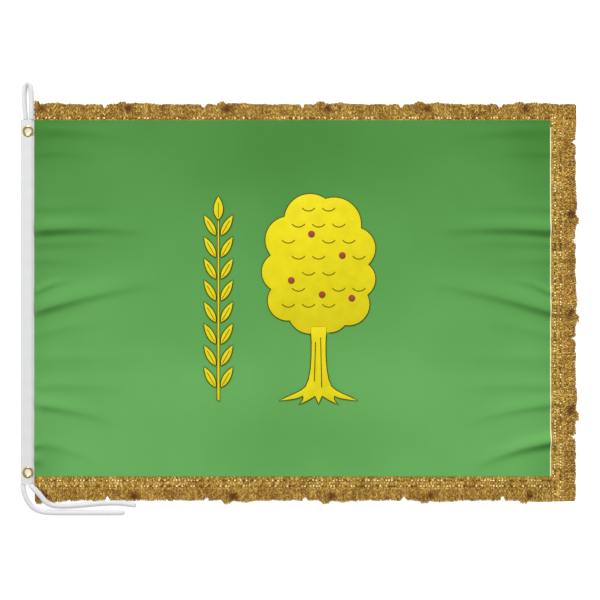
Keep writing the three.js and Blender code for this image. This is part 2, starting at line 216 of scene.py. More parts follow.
def braid(name, route, melted_end):
    """A braided rope along the route. A melted far end is drawn in to a round tip."""
    dense, travelled = smooth_route(route)
    total = travelled[-1]
    steps = int(total / RING_SPACING)
    at = np.linspace(0, total, steps + 1)
    centre = np.stack([np.interp(at, travelled, dense[:, k]) for k in range(3)], 1)
    along = np.gradient(centre, axis=0)
    along /= np.linalg.norm(along, axis=1)[:, None]
    side = np.cross(along, (0, 0, 1))
    side /= np.linalg.norm(side, axis=1)[:, None]
    up = np.cross(side, along)

    turn = math.tan(BRAID_ANGLE) / BRAID_RADIUS * at
    tip = np.ones_like(at)
    if melted_end:
        into_tip = np.clip(at - (total - MELTED_TIP), 0, None) / MELTED_TIP
        tip = np.sqrt(np.clip(1 - into_tip ** 2, 0.02, 1))
    from_mouth = at if melted_end else np.minimum(at, total - at)
    press = MOUTH_PRESS + (1 - MOUTH_PRESS) * np.clip(from_mouth / MOUTH_REACH, 0, 1) ** 0.7

    rope_top = BRAID_RADIUS + BRAID_WEAVE + 0.39 * MM  # above the centre line
    sections = 6
    section = np.arange(sections) / sections * 2 * math.pi
    vertices, faces, coords, low_side = [], [], [], []

    def add_strand(angle, reach, lean):
        """One strand: an oval section, turned by its lean, at an angle round the rope."""
        out = np.cos(angle)[:, None] * side + np.sin(angle)[:, None] * up
        round_about = -np.sin(angle)[:, None] * side + np.cos(angle)[:, None] * up
        across = round_about * math.cos(lean) - along * math.sin(lean)
        middle = centre + out * reach[:, None]
        wide = np.cos(section) * STRAND_HALF_WIDTH
        thick = np.sin(section) * STRAND_HALF_THICKNESS
        ring = (middle[:, None] + across[:, None] * wide[None, :, None] * tip[:, None, None]
                + out[:, None] * thick[None, :, None])
        ring[:, :, 2] = centre[:, None, 2] + (ring[:, :, 2] - centre[:, None, 2]) * press[:, None]
        start = len(vertices) * sections * (steps + 1)
        vertices.append(ring.reshape(-1, 3))
        # How low each point lies on the rope, for its painted shade.
        rise = (ring[:, :, 2] - centre[:, None, 2]) / (rope_top * press[:, None])
        low_side.append(np.clip(1 - (rise + 0.1) / 0.6, 0, 1).ravel())  # 0 from half way up
        for step in range(steps):
            low = start + step * sections
            for k in range(sections):
                nxt = (k + 1) % sections
                faces.append((low + k, low + nxt, low + sections + nxt, low + sections + k))
                coords.extend([(at[step] * 1000, k), (at[step] * 1000, k + 1),
                               (at[step + 1] * 1000, k + 1), (at[step + 1] * 1000, k)])
        last = start + steps * sections
        faces.append(tuple(start + k for k in reversed(range(sections))))
        faces.append(tuple(last + k for k in range(sections)))
        coords.extend([(0, k) for k in range(sections)] * 2)

    over = BRAID_WEAVE * np.cos(STRANDS_EACH_WAY * turn)
    for strand in range(STRANDS_EACH_WAY):
        start_angle = strand / STRANDS_EACH_WAY * 2 * math.pi
        add_strand(start_angle + turn, (BRAID_RADIUS + over) * tip, BRAID_ANGLE)
        add_strand(start_angle - turn, (BRAID_RADIUS - over) * tip, -BRAID_ANGLE)

    data = bpy.data.meshes.new(name)
    data.from_pydata(np.concatenate(vertices).tolist(), [], faces)
    layer = data.uv_layers.new(name="strand")
    layer.data.foreach_set("uv", np.array(coords, dtype=float).ravel())
    layer = data.attributes.new("low_side", "FLOAT", "POINT")
    layer.data.foreach_set("value", np.concatenate(low_side).astype(np.float32))
    rope = bpy.data.objects.new(name, data)
    bpy.context.collection.objects.link(rope)
    return rope


def flag_point(across, v, height):
    """A point from the heading's outer edge, the field's lower edge and the table, in mm."""
    return (hoist_edge + across * MM, field_foot + v * MM, height * MM)


LOOP_ROUTE = [
    (8.5, 601.4, 4.4), (8.2, 607, 4.4), (7.3, 616, 4.4), (6.4, 627, 4.4), (6, 637, 4.4),
    (5.9, 645, 4.4), (6.3, 651.5, 4.4), (7.5, 657, 4.4), (9.5, 660.6, 4.4), (12.1, 661.8, 4.4),
    (14.7, 660.6, 4.4), (16.7, 657, 4.4), (17.9, 651.5, 4.4), (18.3, 645, 4.4), (18.5, 637, 4.4),
    (18.6, 627, 4.4), (18.7, 616, 4.4), (18.7, 607, 4.4), (18.7, 601.4, 4.4),
]
LEFT_TAIL_ROUTE = [
    (4.3, -14.2, 4.4), (4, -16.5, 4.4), (4.9, -23, 4.4), (7.5, -31, 4.4), (11, -38.7, 4.4),
    (15.4, -46, 4.4), (21.4, -52.2, 4.4), (29, -56.8, 4.4), (38, -59.6, 4.4), (48, -60.7, 4.4),
    (61, -61.1, 4.4), (77, -61.2, 4.4), (95, -61.2, 4.4), (113, -61.2, 4.4), (132, -61.2, 4.4),
    (153, -61.2, 4.4), (175.8, -61.1, 4.4),
]
RIGHT_TAIL_ROUTE = [
    (18.8, -14.1, 4.9), (18.9, -15.5, 5.2), (21, -17.9, 7.1), (25, -21.4, 8.3),
    (30.2, -26.6, 8.3), (35.2, -32.4, 8.3), (39.6, -38, 8.25), (44.4, -43, 7.6),
    (50.2, -46.6, 6.2), (57, -48.7, 4.9), (65.5, -49.6, 4.4), (76, -49.6, 4.4), (88, -49.1, 4.4),
    (102, -48.1, 4.4), (117, -46.9, 4.4), (132, -45.6, 4.4), (147, -44.7, 4.4),
    (162, -44.7, 4.4), (177, -45.9, 4.4), (188, -47.5, 4.4), (195, -48.8, 4.4),
]
for piece_name, route, far_end in (
    ("halyard_loop", LOOP_ROUTE, "object"),
    ("halyard_tail_left", LEFT_TAIL_ROUTE, "bare"),
    ("halyard_tail_right", RIGHT_TAIL_ROUTE, "bare"),
):
    points = [flag_point(*point) for point in route]
    rope = braid(f"{piece_name}_rope", points, far_end == "bare")
    finish_piece(rope, rope_material, [piece_name], smooth=60)
    length = sum((Vector(b) - Vector(a)).length for a, b in zip(points, points[1:]))

for node_name in ("halyard_core_left", "halyard_core_right"):
    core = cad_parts[node_name]
    core.data.materials.clear()
    core.data.materials.append(rope_material)


# ---- Heading tape ---------------------------------------------------------------------------
# A sleeve of white cotton canvas, folded over the doubled rope and sewn to the field's hoist
# edge. It is plump where the rope fills it and flat along the seam. Two rows of lockstitch hold
# it, and it is punched for the two grommets.

def vertex_array(piece):
    """The piece's vertices as an array, in metres."""
    flat = np.empty(len(piece.data.vertices) * 3)
    piece.data.vertices.foreach_get("co", flat)
    return flat.reshape(-1, 3)


def move_vertices(piece, places):
    piece.data.vertices.foreach_set("co", np.ascontiguousarray(places).ravel())
    piece.data.update()


def apply_modifier(piece, kind, **settings):
    """Adds one modifier with its settings and applies it."""
    select_only(piece)
    modifier = piece.modifiers.new(kind.lower(), kind)
    for setting, value in settings.items():
        setattr(modifier, setting, value)
    bpy.ops.object.modifier_apply(modifier=modifier.name)


def cut_long_edges(piece, axis, cuts):
    """Divides the edges that run along one axis, so that rings go round the piece."""
    bpy.ops.object.mode_set(mode="EDIT")
    bpy.ops.mesh.select_all(action="DESELECT")
    bpy.ops.object.mode_set(mode="OBJECT")
    bpy.context.tool_settings.mesh_select_mode = (False, True, False)
    for edge in piece.data.edges:
        start, end = (piece.data.vertices[i].co for i in edge.vertices)
        run = (end - start).normalized()
        edge.select = abs(run[axis]) > 0.99
    bpy.ops.object.mode_set(mode="EDIT")
    bpy.ops.mesh.subdivide(number_cuts=cuts)
    bpy.ops.object.mode_set(mode="OBJECT")


def stitch_row(name, start, direction, count, pitch, length, thickness, material):
    """A row of lockstitches: one small pillow of thread, repeated along the row."""
    bpy.ops.mesh.primitive_uv_sphere_add(segments=8, ring_count=5, radius=0.5)
    row = bpy.context.object
    row.name = name
    row.scale = (thickness, length, thickness * 0.8)
    row.rotation_euler = (0, 0, math.atan2(direction[1], direction[0]) - math.pi / 2)
    bpy.ops.object.transform_apply(location=True, rotation=True, scale=True)
    step = Vector(direction).normalized() * pitch
    apply_modifier(row, "ARRAY", count=count, use_relative_offset=False, use_constant_offset=True,
                   constant_offset_displace=step)
    move_vertices(row, vertex_array(row) + np.array(start))
    finish_piece(row, material, smooth=60)


def bands_per_metre(spacing):
    """The scale that gives a wave texture one band for each spacing, in mm."""
    return 2 * math.pi / (20 * spacing * MM)


def woven_cotton(name, light, shadow, yarn):
    """Plain-woven cotton: matt, with warp and weft yarns that cross one over one.

    Real yarns lie 0.3 to 0.6 mm apart. Where that is too fine to show, they are drawn coarser.
    """
    material, tree, shader = new_material(name)
    place = add_node(tree, "ShaderNodeTexCoord").outputs["Object"]
    rate = bands_per_metre(yarn)
    warp = add_node(tree, "ShaderNodeTexWave", {"Vector": place, "Scale": rate, "Distortion": 0.3},
                    bands_direction="X")
    weft = add_node(tree, "ShaderNodeTexWave", {"Vector": place, "Scale": rate, "Distortion": 0.3},
                    bands_direction="Y")
    weave = add_node(tree, "ShaderNodeMath", {0: warp.outputs["Fac"], 1: weft.outputs["Fac"]},
                     operation="MULTIPLY")
    slub = add_node(tree, "ShaderNodeTexNoise", {"Vector": place, "Scale": 120.0, "Detail": 4.0})
    mottled = add_node(tree, "ShaderNodeMath", {0: slub.outputs["Fac"], 1: weave.outputs[0],
                       2: 0.25}, operation="MULTIPLY_ADD")
    tint = add_node(tree, "ShaderNodeMix", {0: mottled.outputs[0], 6: linear(shadow),
                    7: linear(light)}, data_type="RGBA")
    bump = add_node(tree, "ShaderNodeBump", {"Height": weave.outputs[0], "Strength": 0.4,
                    "Distance": 0.0002})
    link(tree, tint.outputs[2], shader.inputs["Base Color"])
    link(tree, bump.outputs["Normal"], shader.inputs["Normal"])
    shader.inputs["Roughness"].default_value = 0.85
    shader.inputs["Specular IOR Level"].default_value = 0.25
    return material


canvas = woven_cotton("cotton_canvas_white", "#d3d3d3", "#cacaca", 1.6)
tape_low, tape_high = (Vector(corner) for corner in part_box("heading_tape"))
tape_size = tape_high - tape_low
tape_middle = (tape_low + tape_high) / 2
bpy.ops.mesh.primitive_cylinder_add(vertices=36, radius=1, depth=tape_size.y, location=tape_middle,
                                    rotation=(math.pi / 2, 0, 0))
heading = bpy.context.object
heading.name = "heading_sleeve"
bpy.ops.object.transform_apply(location=True, rotation=True, scale=True)
cut_long_edges(heading, 1, 205)  # a ring each 3 mm
places = vertex_array(heading)
angle = np.arctan2(places[:, 2] - tape_middle.z, places[:, 0] - tape_middle.x)
squareness, seam_squareness = 2 / 5, 0.12  # the lower they are, the squarer the section
across = np.sign(np.cos(angle)) * np.abs(np.cos(angle)) ** squareness
over_seam = (np.cos(angle) > 0) & (np.sin(angle) > 0)
rise = np.sign(np.sin(angle)) * np.abs(np.sin(angle)) ** np.where(over_seam, seam_squareness, squareness)
across_mm = (across + 1) / 2 * tape_size.x / MM
seam_start, seam_flat = 19.6, 3.4
seam = np.clip((across_mm - seam_start) / (tape_size.x / MM - seam_start), 0, 1) ** 0.6
thickness = tape_size.z / MM * (1 - seam) + seam_flat * seam
hump_height, hump_spacing = 0.35, 10.2  # where the two runs of rope lie side by side
rope_humps = hump_height * np.cos(across_mm / hump_spacing * 2 * math.pi - math.pi) * (1 - seam)
tape_v = places[:, 1] / MM
pucker = 0.16 * np.sin(tape_v / 5.3) + 0.12 * np.sin(tape_v / 2.1 + across_mm / 3)
top = (rise + 1) / 2 * thickness + np.where(rise > 0.2, rope_humps + pucker, 0)
places[:, 0] = tape_middle.x + across * tape_size.x / 2
places[:, 2] = np.maximum(top * MM, 0)
move_vertices(heading, places)

PUNCH_RADIUS = 6.6 * MM
grommets = {}
for place in ("upper", "lower"):
    eyelet_low, eyelet_high = (Vector(c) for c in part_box(f"{place}_grommet_eyelet"))
    grommets[place] = (eyelet_low + eyelet_high) / 2
    bpy.ops.mesh.primitive_cylinder_add(vertices=48, radius=PUNCH_RADIUS, depth=40 * MM,
                                        location=grommets[place])
    punch = bpy.context.object
    apply_modifier(heading, "BOOLEAN", operation="DIFFERENCE", object=punch, solver="EXACT")
    bpy.data.objects.remove(punch)

# The flange of each grommet clamps the sleeve down to its own height.
clamp_reach, clamp_fade = 14, 3
places = vertex_array(heading)
for centre in grommets.values():
    distance = np.hypot(places[:, 0] - centre.x, places[:, 1] - centre.y) / MM
    clamp = np.clip((clamp_reach - distance) / clamp_fade, 0, 1)
    clamped = np.minimum(places[:, 2], tape_size.z - 0.1 * MM)
    places[:, 2] += clamp * (clamped - places[:, 2])
move_vertices(heading, places)
finish_piece(heading, canvas, ["heading_tape"], smooth=50)

thread = woven_cotton("cotton_thread_white", "#dadada", "#c4c4c4", 0.5)
STITCH_PITCH, STITCH_LENGTH, THREAD = 3.6 * MM, 2.7 * MM, 0.75 * MM
stitch_count = int(tape_size.y / STITCH_PITCH) - 1
for name, across_at, height in (("outer", 1.5, 5.75), ("seam", 21.4, 4.4)):
    start = (hoist_edge + across_at * MM, tape_low.y + STITCH_PITCH, height * MM)
    stitch_row(f"heading_stitches_{name}", start, (0, 1, 0), stitch_count, STITCH_PITCH,
               STITCH_LENGTH, THREAD, thread)


# ---- Grommets -------------------------------------------------------------------------------
# Two brass eyelets, each drawn from sheet, pushed through the sleeve from its face and rolled over
# a brass washer at its back. Patches of tarnish lie on them at random.

def polished_brass():
    """Drawn and tumbled brass: warm, glossy, with fine marks round the ring and tarnish in it."""
    material, tree, shader = new_material("polished_brass")
    place = add_node(tree, "ShaderNodeTexCoord").outputs["Object"]
    tarnish = add_node(tree, "ShaderNodeTexNoise", {"Vector": place, "Scale": 260.0, "Detail": 4.0})
    scratches = add_node(tree, "ShaderNodeTexNoise", {"Vector": place, "Scale": 1400.0})
    tint = add_node(tree, "ShaderNodeMix", {0: tarnish.outputs["Fac"], 6: linear("#86702e"),
                    7: linear("#dcc67e")}, data_type="RGBA")
    rough = add_node(tree, "ShaderNodeMapRange", {0: tarnish.outputs["Fac"], 3: 0.34, 4: 0.16})
    bump = add_node(tree, "ShaderNodeBump", {"Height": scratches.outputs["Fac"], "Strength": 0.08,
                    "Distance": 0.0001})
    link(tree, tint.outputs[2], shader.inputs["Base Color"])
    link(tree, rough.outputs[0], shader.inputs["Roughness"])
    link(tree, bump.outputs["Normal"], shader.inputs["Normal"])
    shader.inputs["Metallic"].default_value = 1.0
    return material


def spun(name, profile, centre, steps=64):
    """A ring: a closed profile of (radius, height) in mm, spun round the upright axis."""
    bpy.ops.mesh.primitive_circle_add(vertices=len(profile), radius=MM, fill_type="NOTHING")
    ring = bpy.context.object
    ring.name = name
    for vertex, (radius, height) in zip(ring.data.vertices, profile):
        vertex.co = (radius * MM, 0, height * MM)
    bpy.ops.object.mode_set(mode="EDIT")
    bpy.ops.mesh.select_all(action="SELECT")
    bpy.ops.mesh.spin(steps=steps, angle=2 * math.pi, center=(0, 0, 0), axis=(0, 0, 1))
    bpy.ops.mesh.select_all(action="SELECT")
    bpy.ops.mesh.remove_doubles(threshold=1e-6)
    bpy.ops.mesh.normals_make_consistent(inside=False)
    bpy.ops.object.mode_set(mode="OBJECT")
    ring.location = (centre.x, centre.y, 0)
    bpy.ops.object.transform_apply(location=True, rotation=True, scale=True)
    return ring


def arc(centre, radii, start, end, count):
    """Points of an elliptical arc, from start to end in degrees."""
    turns = np.radians(np.linspace(start, end, count))
    return [(centre[0] + radii[0] * math.cos(t), centre[1] + radii[1] * math.sin(t)) for t in turns]


BORE, BARREL, FLANGE = 5.7, 6.3, 9.4  # radii
FACE, CROWN = 6.3, 7.5  # heights of the flange's lower side and of its crown
eyelet_profile = (
    arc((BORE + 1.0, 0.5), (1.0, 0.45), 180, 270, 4)  # the end rolled over behind
    + arc((7.2, 0.5), (0.5, 0.45), 270, 360, 4)
    + [(7.4, 0.85), (BARREL, 0.9), (BARREL, FACE)]
    + [(FLANGE - 0.4, FACE)]
    + arc(((BORE + FLANGE) / 2, FACE + 0.2), ((FLANGE - BORE) / 2, CROWN - FACE - 0.2), 0, 180, 16)
)
washer_profile = (
    arc((8.9, 1.3), (0.3, 0.3), -90, 90, 5) + [(6.6, 1.6), (6.6, 1.0)]
)
brass = polished_brass()
for place, centre in grommets.items():
    eyelet = spun(f"{place}_eyelet_ring", eyelet_profile, centre)
    finish_piece(eyelet, brass, [f"{place}_grommet_eyelet"], smooth=50)
    washer = spun(f"{place}_washer_ring", washer_profile, centre)
    finish_piece(washer, brass, [f"{place}_grommet_washer"], smooth=50)


# ---- Field ----------------------------------------------------------------------------------
# One width of green polyester satin, hemmed all round and lying loose. It was folded for storage,
# so soft creases run in from the heading and from the fringe, alike on both sides of the fold.

FIELD_WIDTH, FIELD_HEIGHT = 868.3, 600
FACE_HEIGHT = 3.0  # of the cloth's upper side, where it is flat
HEADING_GAP = 0.1  # between the cloth and the heading
CREASE_DEPTH = 0.75  # a share of the heights that the creases are listed with
CREASE_SWAY = 5  # how far a crease bows from a straight line
field_corner = np.array([hoist_edge + tape_size.x, field_foot])

# From the edge inwards: v at the edge, v at the inner end, inner end, height, reach above and
# below, and the share of it at the hoist and at the fly.
CREASES = (
    (415, 413, 200, 9.0, 17, 9.0, 1.0, 1.0),
    (392, 390, 170, 1.8, 8, 8, 1.0, 1.0),
    (279, 328, 215, 8.0, 22, 9.0, 1.0, 1.0),
    (310, 330, 70, 4.0, 8, 6, 1.0, 1.0),
    (122, 88, 150, 7.2, 15, 8.0, 0.75, 0.6),
    (152, 148, 170, 2.2, 12, 10, 1.0, 1.0),
    (59, 17, 130, 9.0, 14, 8.5, 0.3, 1.2),
    (50, 46, 18, 4.5, 6, 7, 1.3, 0.1),
    (26, 20, 18, 5.5, 9, 8, 1.3, 0.1),
    (198, 194, 240, 1.4, 16, 12, 1.0, 1.0),
    (452, 446, 175, 1.6, 12, 8, 1.0, 1.0),
    (545, 538, 130, 1.5, 16, 8, 1.0, 1.0),
    (584, 566, 190, 2.2, 14, 9, 1.0, 1.0),
    (366, 352, 120, 1.4, 12, 9, 1.0, 1.0),
    (238, 262, 140, 1.4, 12, 9, 1.0, 1.0),
)

# Broad patches of painted light and painted shade on the satin, as u from the nearer side, v,
# their two reaches and how far they lighten the cloth.
PAINTED_PATCHES = (
    (0, 590, 90, 60, -0.22),
    (430, 540, 160, 80, -0.17),
    (260, 480, 170, 170, 0.12),
    (120, 290, 90, 50, 0.08),
    (270, 165, 120, 50, 0.12),
    (115, 60, 80, 40, 0.01),
    (434, 50, 150, 70, -0.20),
    (0, 15, 40, 60, -0.30),
    (0, 300, 26, 240, -0.12),
)


def smooth_step(value):
    value = np.clip(value, 0, 1)
    return value * value * (3 - 2 * value)


def cloth_lift(u, v):
    """How far the cloth stands above its flat face, in mm, at a place on the field."""
    from_side = np.minimum(u, FIELD_WIDTH - u)
    inward = np.maximum(from_side, 0)
    lift = np.zeros_like(u)
    for at_edge, at_end, inner_end, height, above, below, at_hoist, at_fly in CREASES:
        run = inward / inner_end
        line = at_edge + (at_end - at_edge) * run + CREASE_SWAY * np.sin(run * 3.0)
        off = v - line
        reach = np.where(off > 0, above, below)
        share = np.where(u < FIELD_WIDTH / 2, at_hoist, at_fly)
        height_there = CREASE_DEPTH * height * np.clip(1 - run, 0, 1) ** 1.2
        lift += share * height_there * np.exp(-(off / reach) ** 2)
    held = np.where(u < FIELD_WIDTH / 2, 0.45 + 0.55 * smooth_step(inward / 22), 1.0)
    past = smooth_step(1 + from_side / 30)
    hem = smooth_step(np.minimum(v, FIELD_HEIGHT - v) / 16)
    ripple = 0.3 * np.sin(u / 41 + 1.3) * np.sin(v / 57) * smooth_step(inward / 60)
    return (lift * held * past + np.maximum(ripple, 0)) * hem


def painted_cloth_light(u, v):
    """Painted light and shade on the satin, from 0 to 1, at a place on the field."""
    inward = np.minimum(u, FIELD_WIDTH - u)
    # Painted light: lighter towards the foot of the field.
    painted_light = 0.19 + 0.71 * smooth_step(0.5 + (320 - v) / 640)
    # Painted shade on the slope of each crease that faces away from the key lamp, and painted light on the
    # slope that faces it.
    slope = (cloth_lift(u, v + 1) - cloth_lift(u, v - 1)) / 2
    painted_light -= np.where(slope > 0, 0.8, 0.3) * slope
    for from_side, up, reach_in, reach_up, amount in PAINTED_PATCHES:
        painted_light += amount * np.exp(-((inward - from_side) / reach_in) ** 2 - ((v - up) / reach_up) ** 2)
    return painted_light


def green_satin():
    """Polyester satin: long floats with a soft sheen, coloured by the painted light and shade of the
    field.

    Real floats are about 0.2 mm apart. They are drawn coarser, so that they show.
    """
    material, tree, shader = new_material("polyester_satin_green")
    place = add_node(tree, "ShaderNodeTexCoord").outputs["Object"]
    # The painted light and shade that the field carries.
    painted_light = add_node(tree, "ShaderNodeAttribute", attribute_name="painted_light")
    sway = add_node(tree, "ShaderNodeTexNoise", {"Vector": place, "Scale": 7.0, "Detail": 3.0})
    depth = add_node(tree, "ShaderNodeMath", {0: sway.outputs["Fac"], 1: 0.3,
                     2: painted_light.outputs["Fac"]}, operation="MULTIPLY_ADD")
    lit = add_node(tree, "ShaderNodeMapRange", {0: depth.outputs[0], 1: 0.15, 2: 1.15})
    tint = add_node(tree, "ShaderNodeMix", {0: lit.outputs[0], 6: linear("#3d7731"),
                    7: linear("#62a257")}, data_type="RGBA")
    twill = add_node(tree, "ShaderNodeMapping", {"Vector": place, "Rotation": (0, 0, 0.5)})
    floats = add_node(tree, "ShaderNodeTexWave", {"Vector": twill.outputs[0],
                      "Scale": bands_per_metre(1.2), "Distortion": 0.8, "Detail": 1.0},
                      bands_direction="Y")
    picks = add_node(tree, "ShaderNodeTexNoise", {"Vector": place, "Scale": 900.0})
    relief = add_node(tree, "ShaderNodeMath", {0: floats.outputs["Fac"], 1: 0.6,
                      2: picks.outputs["Fac"]}, operation="MULTIPLY_ADD")
    bump = add_node(tree, "ShaderNodeBump", {"Height": relief.outputs[0], "Strength": 0.12,
                    "Distance": 0.0002})
    link(tree, tint.outputs[2], shader.inputs["Base Color"])
    link(tree, bump.outputs["Normal"], shader.inputs["Normal"])
    shader.inputs["Roughness"].default_value = 0.55
    shader.inputs["Specular IOR Level"].default_value = 0.08
    return material


def set_attribute(piece, name, values):
    layer = piece.data.attributes.new(name, "FLOAT", "POINT")
    layer.data.foreach_set("value", np.ascontiguousarray(values, dtype=np.float32))


def field_to_table(u, v):
    """Places on the field, in mm, as x and y on the table, in metres."""
    return field_corner[0] + u * MM, field_corner[1] + v * MM


def in_field(x, y):
    """A place on the table, in metres, as u and v on the field, in mm."""
    return (x - field_corner[0]) / MM, (y - field_corner[1]) / MM


bpy.ops.mesh.primitive_grid_add(x_subdivisions=216, y_subdivisions=200, size=1)  # 4 by 3 mm
field = bpy.context.object
field.name = "field_satin"
places = vertex_array(field)
field_u = HEADING_GAP + (places[:, 0] + 0.5) * (FIELD_WIDTH - HEADING_GAP)
field_v = (places[:, 1] + 0.5) * FIELD_HEIGHT
places[:, 0], places[:, 1] = field_to_table(field_u, field_v)
places[:, 2] = (FACE_HEIGHT + cloth_lift(field_u, field_v)) * MM
move_vertices(field, places)
# Painted light and shade, for the satin to read.
set_attribute(field, "painted_light", painted_cloth_light(field_u, field_v))
apply_modifier(field, "SOLIDIFY", thickness=1.1 * MM, offset=-1)
satin = green_satin()
finish_piece(field, satin, ["field_cloth"], smooth=80)


# ---- Sewn devices ---------------------------------------------------------------------------
# A leafy sprig and a fruit tree, cut from yellow satin and sewn to the field. Each patch is a
# little padded, and a brown satin-stitched cord covers its cut edge. Finer rows of the same
# brown draw the veins, the leaf masses and the bark, and the fruit are small red domes.

def dyed_satin(name, light, shadow, row_spacing):
    """Embroidery satin: close parallel stitches with a soft shine, drawn coarse enough to show."""
    material, tree, shader = new_material(name)
    place = add_node(tree, "ShaderNodeTexCoord").outputs["Object"]
    turned = add_node(tree, "ShaderNodeMapping", {"Vector": place, "Rotation": (0, 0, 0.7)})
    rate = bands_per_metre(row_spacing)
    rows = add_node(tree, "ShaderNodeTexWave", {"Vector": turned.outputs[0], "Scale": rate,
                    "Distortion": 1.2, "Detail": 2.0, "Detail Scale": 3.0}, bands_direction="X")
    cloudy = add_node(tree, "ShaderNodeTexNoise", {"Vector": place, "Scale": 55.0, "Detail": 3.0})
    mixed = add_node(tree, "ShaderNodeMath", {0: rows.outputs["Fac"], 1: 0.5,
                     2: cloudy.outputs["Fac"]}, operation="MULTIPLY_ADD")
    depth = add_node(tree, "ShaderNodeMapRange", {0: mixed.outputs[0], 1: 0.35, 2: 1.0})
    tint = add_node(tree, "ShaderNodeMix", {0: depth.outputs[0], 6: linear(shadow),
                    7: linear(light)}, data_type="RGBA")
    bump = add_node(tree, "ShaderNodeBump", {"Height": rows.outputs["Fac"], "Strength": 0.25,
                    "Distance": 0.0002})
    link(tree, tint.outputs[2], shader.inputs["Base Color"])
    link(tree, bump.outputs["Normal"], shader.inputs["Normal"])
    shader.inputs["Roughness"].default_value = 0.5
    shader.inputs["Specular IOR Level"].default_value = 0.1
    return material


yellow = dyed_satin("embroidery_satin_yellow", "#dacc16", "#c9ba0e", 1.4)
red = dyed_satin("embroidery_satin_red", "#a54243", "#8f3334", 1.0)
brown = dyed_satin("embroidery_thread_brown", "#4e3c14", "#382a0c", 0.9)


def sewn_patch(node_name, material, crown):
    """The CAD patch as one crowned cushion. Returns its outline as points in metres."""
    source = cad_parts[node_name]
    patch = bpy.data.objects.new(f"{node_name}_patch", source.data.copy())
    bpy.context.collection.objects.link(patch)
    select_only(patch)
    bpy.context.tool_settings.mesh_select_mode = (False, False, True)
    bpy.ops.object.mode_set(mode="EDIT")
    bpy.ops.mesh.select_all(action="SELECT")
    bpy.ops.mesh.remove_doubles(threshold=2e-6)
    bpy.ops.mesh.dissolve_limited(angle_limit=math.radians(0.5))
    bpy.ops.mesh.select_all(action="DESELECT")
    bpy.ops.object.mode_set(mode="OBJECT")
    upper = [face for face in patch.data.polygons if face.normal.z > 0.9]
    outlines = [[patch.data.vertices[i].co.copy() for i in face.vertices] for face in upper]
    for face in upper:
        face.select = True
    bpy.ops.object.mode_set(mode="EDIT")
    for inset, rise in crown:
        bpy.ops.mesh.inset(thickness=inset * MM, depth=rise * MM, use_even_offset=False)
    bpy.ops.object.mode_set(mode="OBJECT")
    finish_piece(patch, material, [node_name], smooth=55)
    return outlines


def stitched_cord(name, runs, closed, width, height, lift):
    """Satin-stitched cords along runs of points, as one low rounded piece."""
    data = bpy.data.curves.new(name, "CURVE")
    data.dimensions = "3D"
    data.bevel_depth = width / 2 * MM
    data.bevel_resolution = 1
    data.use_fill_caps = True
    for run in runs:
        spline = data.splines.new("POLY")
        spline.points.add(len(run) - 1)
        for knot, point in zip(spline.points, run):
            knot.co = (point[0], point[1], 0, 1)
        spline.use_cyclic_u = closed
    cord = bpy.data.objects.new(name, data)
    bpy.context.collection.objects.link(cord)
    select_only(cord)
    bpy.ops.object.convert(target="MESH")
    cord = bpy.context.object
    places = vertex_array(cord)
    places[:, 2] = places[:, 2] * height / width + lift * MM
    move_vertices(cord, places)
    finish_piece(cord, brown, smooth=60)


def from_field(u, v):
    x, y = field_to_table(u, v)
    return Vector((x, y, 0))


CUSHION = ((0.9, 0.28), (1.3, 0.2))
outline_width, outline_height, edge_lift = 1.9, 1.3, 3.75
sprig_nodes = ["sprig_stem", "sprig_leaf_tip"]
sprig_nodes += [f"sprig_leaf_{side}_{pair}" for pair in range(1, 9) for side in ("left", "right")]
edges, veins = [], []
for node_name in sprig_nodes:
    crown = CUSHION[:1] if node_name == "sprig_stem" else CUSHION
    outlines = sewn_patch(node_name, yellow, crown)
    edges += outlines
    if "leaf" in node_name:
        root = min(outlines[0], key=lambda point: point.y)
        point_of_leaf = max(outlines[0], key=lambda point: point.y)
        veins.append([root.lerp(point_of_leaf, 0.1), root.lerp(point_of_leaf, 0.72)])
stitched_cord("sprig_edge_stitching", edges, True, outline_width, outline_height, edge_lift)
stitched_cord("sprig_vein_stitching", veins, False, 1.0, 0.9, 4.5)

TREE_U, CROWN_FOOT = 478.7, 240.5
LEAF_MASSES = (  # across from the trunk, v, radius
    (0, 350, 66), (-14, 432, 44), (26, 424, 46), (-50, 398, 40), (60, 384, 36), (-62, 344, 34),
    (64, 332, 32), (-52, 296, 34), (50, 290, 36), (-14, 278, 38), (18, 276, 34),
)


def open_at_trunk(outline):
    """The outline without its part where the trunk runs up into the crown."""
    joint_half_width, joint_height = 15, 20
    joined = []
    for point in outline:
        u, v = in_field(point.x, point.y)
        joined.append(abs(u - TREE_U) < joint_half_width and 0 < v - CROWN_FOOT < joint_height)
    last = max(i for i, inside in enumerate(joined) if inside and not joined[(i + 1) % len(joined)])
    turned = outline[last + 1:] + outline[:last + 1]
    kept = [point for point, inside in zip(turned, joined[last + 1:] + joined[:last + 1])
            if not inside]
    foot = field_corner[1] + (CROWN_FOOT - 1) * MM
    if max(point.y for point in kept) < foot:  # the trunk's sides end where the crown begins
        before, after = turned[-1], turned[len(kept)]
        kept = [Vector((before.x, foot, 0))] + kept + [Vector((after.x, foot, 0))]
    return kept


tree_edges = sewn_patch("tree_crown", yellow, ((0.6, 0.35),))
tree_edges += sewn_patch("tree_trunk", yellow, ((0.5, 0.2),))
tree_edges = [open_at_trunk(outline) for outline in tree_edges]
stitched_cord("tree_edge_stitching", tree_edges, False, outline_width, outline_height, edge_lift)

